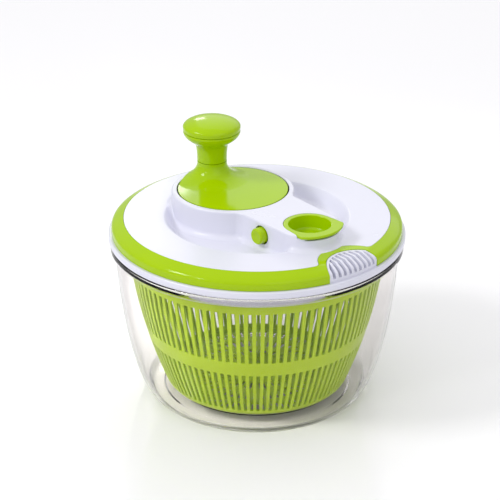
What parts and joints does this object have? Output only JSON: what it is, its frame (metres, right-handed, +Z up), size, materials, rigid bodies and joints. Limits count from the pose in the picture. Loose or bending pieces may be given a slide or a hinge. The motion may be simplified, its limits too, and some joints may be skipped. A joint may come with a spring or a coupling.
{
  "type": "salad spinner",
  "caption": "Salad spinner: clear bowl, slotted basket, and a geared lid with an offset crank knob, push-button brake and lift-out filler cap.",
  "frame": {"origin": "on the table, at the centre of the bowl's foot, under the lid's axis", "axes": "+Z up the axis that the basket turns on; +X from the crank towards the filler cap and the grille"},
  "size_m": [0.2492, 0.2492, 0.2265],
  "materials": {
    "bowl_clear": "clear moulded plastic, glossy",
    "lid_white": "glossy white moulded plastic",
    "lid_green": "glossy lime green moulded plastic",
    "basket_green": "satin yellow-green moulded plastic",
    "acetal": "natural acetal",
    "steel": "plated steel",
    "rubber": "moulded rubber"
  },
  "bodies": {
    "bowl": {"bowl": "bowl_clear"},
    "bearing": {"basket_bearing": "acetal"},
    "basket": {"basket": "basket_green"},
    "lid": {"lid_base": "lid_white", "lid_cover": "lid_white", "rim_band": "lid_green", "lid_screw_1": "steel", "lid_screw_2": "steel", "lid_screw_3": "steel", "lid_screw_4": "steel", "brake_pin": "steel", "brake_spring": "steel"},
    "crank": {"crank_disc": "lid_green", "ring_gear": "acetal", "gear_screw_1": "steel", "gear_screw_2": "steel", "gear_screw_3": "steel", "crank_washer": "steel", "crank_screw": "steel", "knob_washer": "steel", "knob_screw": "steel"},
    "knob": {"knob_grip": "lid_green", "knob_cap": "lid_green"},
    "drive": {"drive_pinion": "acetal", "drive_shaft": "steel", "drive_plate": "lid_white", "drive_screw": "steel"},
    "button": {"brake_button": "lid_green"},
    "lever": {"brake_lever": "acetal", "brake_shoe": "rubber"},
    "filler": {"filler_cap": "lid_green"}
  },
  "joints": [
    {"name": "lid_lift", "type": "slide", "parent": "bowl", "child": "lid", "axis": [0, 0, 1], "range_m": [0, 0.3]},
    {"name": "basket_lift", "type": "slide", "parent": "bowl", "child": "bearing", "axis": [0, 0, 1], "range_m": [0, 0.15]},
    {"name": "basket_spin", "type": "hinge", "parent": "bearing", "child": "basket", "pos_m": [0, 0, 0.02], "axis": [0, 0, 1], "continuous": true},
    {"name": "drive_spin", "type": "hinge", "parent": "lid", "child": "drive", "pos_m": [0, 0, 0.15], "axis": [0, 0, 1], "continuous": true},
    {"name": "crank_turn", "type": "hinge", "parent": "lid", "child": "crank", "pos_m": [-0.0315, 0, 0.165], "axis": [0, 0, 1], "continuous": true},
    {"name": "knob_spin", "type": "hinge", "parent": "crank", "child": "knob", "pos_m": [-0.0595, 0, 0.2], "axis": [0, 0, 1], "continuous": true},
    {"name": "brake_press", "type": "slide", "parent": "lid", "child": "button", "axis": [0, 1, 0], "range_m": [0, 0.004], "stiffness_N_per_m": 600, "springref_m": -0.002, "deforming": ["brake_spring"]},
    {"name": "lever_swing", "type": "hinge", "parent": "lid", "child": "lever", "pos_m": [-0.02, -0.024, 0.1505], "axis": [0, 0, 1], "range_deg": [0, 4.2]},
    {"name": "filler_lift", "type": "slide", "parent": "lid", "child": "filler", "axis": [0, 0, 1], "range_m": [0, 0.05]}
  ],
  "couplings": [
    {"joint": "basket_lift", "follows": "lid_lift", "ratio": 0.5},
    {"joint": "drive_spin", "follows": "basket_spin", "ratio": 1},
    {"joint": "crank_turn", "follows": "basket_spin", "ratio": 0.25},
    {"joint": "lever_swing", "follows": "brake_press", "rad_per_m": 17.094}
  ]
}
